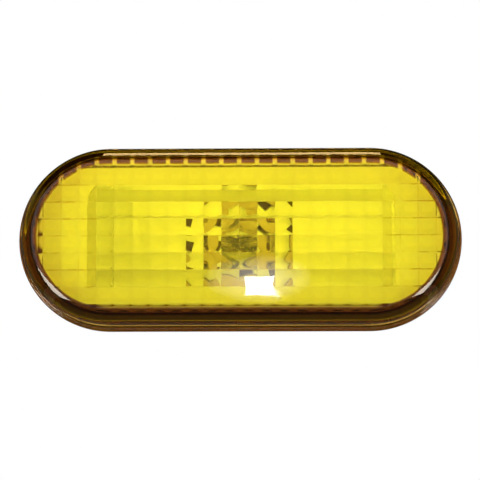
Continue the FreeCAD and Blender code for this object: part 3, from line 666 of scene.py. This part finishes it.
# a flat sheet square to the axes, from its three spans, of which one has no length; lift brightens it to the
# camera alone
def stageSheet(name, spans, colour, lift=0.0):
    material, tree, shader = newMaterial(name)
    shader.inputs["Roughness"].default_value = sheet["rough"]
    shader.inputs["Specular IOR Level"].default_value = sheet["gloss"]
    tone, shade = (*colour, 1), (*[sheet["shade"] * part for part in colour], 1)
    skin = useGroup(tree, grain, Tone=tone, Shade=shade, Cloud=sheet["cloud"], Fine=sheet["fine"], Bump=0.0)
    tree.links.new(skin["Colour"], shader.inputs["Base Color"])
    tree.links.new(skin["Colour"], shader.inputs["Emission Color"])
    seen = tree.nodes.new("ShaderNodeLightPath").outputs["Is Camera Ray"]
    tree.links.new(product(tree, seen, lift), shader.inputs["Emission Strength"])
    material.cycles.emission_sampling = "NONE"
    first, second = [axis for axis, (low, high) in enumerate(spans) if low != high]
    corners = np.tile([low for low, high in spans], (4, 1)).astype(float)
    corners[[1, 2], first] = spans[first][1]
    corners[[2, 3], second] = spans[second][1]
    mesh = bpy.data.meshes.new(name)
    mesh.from_pydata(corners.tolist(), [], [(0, 1, 2, 3)])
    mesh.materials.append(material)
    piece = bpy.data.objects.new(name, mesh)
    bpy.context.collection.objects.link(piece)
    return piece


worldLight()
floor = dict(spans=((-9.0, 9.0), (-9.0, 9.0), (-0.7, -0.7)), colour=(0.85, 0.85, 0.84), lift=0.85)
stageSheet("floor", **floor)

# flags give the clear edges their dark lines; only mirrored and refracted rays meet them
flags = {
    "above": dict(spans=((-0.8, 0.8), (-0.4, 2.0), (0.25, 0.25)), tone=0.02),
    "below": dict(spans=((-0.25, 0.25), (-1.2, 2.0), (-0.2, -0.2)), tone=0.2),
    "left": dict(spans=((-0.35, -0.35), (-0.35, 2.0), (-0.2, 0.25)), tone=0.15),
    "right": dict(spans=((0.35, 0.35), (-0.35, 2.0), (-0.2, 0.25)), tone=0.15),
    "front": dict(spans=((-0.5, 0.5), (-1.2, -1.2), (-0.06, 0.34)), tone=0.85),
}
for name, item in flags.items():
    flag = stageSheet("flag_" + name, item["spans"], (item["tone"],) * 3)
    flag.visible_camera = flag.visible_diffuse = flag.visible_shadow = False


# a lamp that looks at the origin; mirrored ones show in reflections, and lit ones light plain surfaces
def softBox(name, place, size, power, shape="RECTANGLE", mirrored=True, lit=True, colour=(1, 1, 1)):
    lamp = bpy.data.lights.new(name, "AREA")
    lamp.shape, lamp.color, lamp.energy = shape, colour, power
    lamp.size, lamp.size_y = size
    box = bpy.data.objects.new(name, lamp)
    bpy.context.collection.objects.link(box)
    box.location = place
    box.visible_glossy, box.visible_diffuse, box.visible_transmission = mirrored, lit, False
    x, y, z = place
    box.rotation_euler = (math.atan2(math.hypot(x, y), z), 0, math.atan2(x, -y))


cream, gold = (1.0, 0.92, 0.76), (1.0, 0.68, 0.28)
frontBox = dict(size=(0.34, 0.3), power=4.6, lit=False, colour=cream)
sideBox = dict(size=(0.3, 0.3), power=0.24, mirrored=False)
boxes = [
    dict(name="front_left", place=(-0.45, -0.77, -0.25), **frontBox),
    dict(name="front_right", place=(0.41, -0.8, -0.27), **frontBox),
    dict(name="front_high", place=(0.0, -0.85, 0.45), size=(0.5, 0.2), power=0.21, mirrored=False),
    dict(name="side_left", place=(-0.72, -0.62, 0.0), **sideBox),
    dict(name="side_right", place=(0.72, -0.62, 0.0), **sideBox),
    dict(name="front_axis", place=(0.0, -0.85, 0.02), size=(0.1, 0.1), power=0.44, mirrored=False),
    dict(name="front_low", place=(0.0, -0.8, -0.45), size=(0.4, 0.15), power=0.38, mirrored=False),
    dict(name="top_strip", place=(0.0, -0.045, 0.232), size=(0.12, 0.08), power=0.42, lit=False, colour=gold),
    dict(name="rear_top", place=(0.1, 0.7, 0.6), size=(0.5, 0.5), power=3.5),
    dict(name="flash", place=(-0.0032, -0.4305, 0.0207), size=(0.011, 0.0135), power=0.014),
]
# a glow round the flash: ellipses one behind another, each wider than the last, at one brightness
glow = dict(
    place=(-0.0035, -0.4313, 0.0255), apart=0.0004, small=(0.013, 0.011), large=(0.04, 0.032),
    count=6, radiance=0.9,
)
for n, share in enumerate(np.linspace(0, 1, glow["count"])):
    x, y, z = glow["place"]
    wide, tall = [low + (high - low) * share for low, high in zip(glow["small"], glow["large"])]
    power = glow["radiance"] * math.pi * (math.pi / 4 * wide * tall)
    place = (x, y - glow["apart"] * n, z)
    boxes.append(dict(name="glow_%d" % n, place=place, size=(wide, tall), power=power, shape="ELLIPSE"))
for item in boxes:
    softBox(**item)

view = dict(
    azimuth=1.5, elevation=-7.5, distance=0.55, target=(0, -0.004, -0.0002), width=0.104, nearest=0.01,
)
az, el = math.radians(view["azimuth"]), math.radians(view["elevation"])
camera = bpy.data.objects.new("camera", bpy.data.cameras.new("camera"))
bpy.context.collection.objects.link(camera)
toCamera = np.array([math.sin(az) * math.cos(el), -math.cos(az) * math.cos(el), math.sin(el)])
camera.location = np.array(view["target"]) + toCamera * view["distance"]
camera.rotation_euler = (math.pi / 2 - el, 0, az)
camera.data.angle = 2 * math.atan(view["width"] / 2 / view["distance"])
camera.data.clip_start = view["nearest"]
scene.camera = camera
scene.view_settings.view_transform = "Standard"
scene.cycles.max_bounces = 24
scene.cycles.transmission_bounces = 20
scene.cycles.glossy_bounces = 12
scene.cycles.transparent_max_bounces = 16
scene.cycles.use_denoising = True
print("stage:", len(boxes), "soft boxes,", len(flags), "flags")
